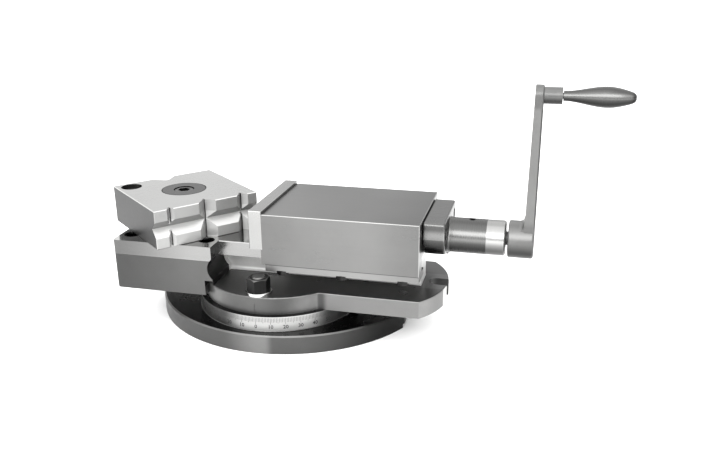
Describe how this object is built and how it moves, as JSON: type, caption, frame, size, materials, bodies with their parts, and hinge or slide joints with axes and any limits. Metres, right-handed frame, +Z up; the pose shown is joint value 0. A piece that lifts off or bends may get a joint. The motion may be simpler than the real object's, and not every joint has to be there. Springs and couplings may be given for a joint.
{
  "type": "swivel milling vise",
  "caption": "Machine vise on a graduated swivel base: a turning block jaw with vee grooves, a sliding jaw on a T-shaped way, a lead screw and an upright crank.",
  "frame": {"origin": "swivel axis at the underside of the base", "axes": "+X along the lead screw towards the crank, +Z up, -Y the front with the index line"},
  "size_m": [0.4653, 0.1664, 0.2253],
  "materials": {
    "base_iron": "machined and painted grey iron",
    "body_iron": "cast iron with ground ways",
    "ground_steel": "fine ground",
    "block_steel": "satin ground",
    "keeper_steel": "ground",
    "dark_screws": "blackened",
    "bright_steel": "turned bright",
    "crank_iron": "satin",
    "handle_steel": "polished satin",
    "nut_bronze": "machined bronze"
  },
  "bodies": {
    "base": {"swivel_base": "base_iron"},
    "vise": {"vise_body": "body_iron", "lead_nut": "nut_bronze", "lead_nut_screws": "dark_screws", "tee_bolts": "dark_screws", "ear_washers": "bright_steel", "ear_nuts": "dark_screws", "pivot_bush": "block_steel", "pivot_screw": "dark_screws"},
    "turning_jaw": {"swivel_jaw": "ground_steel", "lock_screw": "dark_screws"},
    "sliding_jaw": {"slide_block": "block_steel", "jaw_plate": "ground_steel", "jaw_plate_screws": "dark_screws", "keeper_front": "keeper_steel", "keeper_back": "keeper_steel", "keeper_screws": "dark_screws", "screw_bracket": "block_steel", "bracket_screws": "dark_screws"},
    "screw": {"lead_screw": "bright_steel", "thrust_collar": "bright_steel", "collar_pin": "bright_steel", "crank": "crank_iron", "crank_pin": "bright_steel", "handle_pin": "bright_steel"},
    "handle": {"handle_grip": "handle_steel"}
  },
  "joints": [
    {"name": "swivel_turn", "type": "hinge", "parent": "base", "child": "vise", "pos_m": [0, 0, 0.0305], "axis": [0, 0, 1], "continuous": true},
    {"name": "turning_jaw_turn", "type": "hinge", "parent": "vise", "child": "turning_jaw", "pos_m": [-0.093, 0, 0.0827], "axis": [0, 0, 1], "continuous": true},
    {"name": "jaw_slide", "type": "slide", "parent": "vise", "child": "sliding_jaw", "axis": [1, 0, 0], "range_m": [-0.003, 0.08]},
    {"name": "crank_turn", "type": "hinge", "parent": "sliding_jaw", "child": "screw", "pos_m": [0.2, 0, 0.0922], "axis": [1, 0, 0], "range_deg": [-216, 5760]},
    {"name": "handle_spin", "type": "hinge", "parent": "screw", "child": "handle", "pos_m": [0.27, 0, 0.2167], "axis": [1, 0, 0], "continuous": true}
  ],
  "couplings": [
    {"joint": "jaw_slide", "follows": "crank_turn", "m_per_rad": 0.00079577}
  ]
}
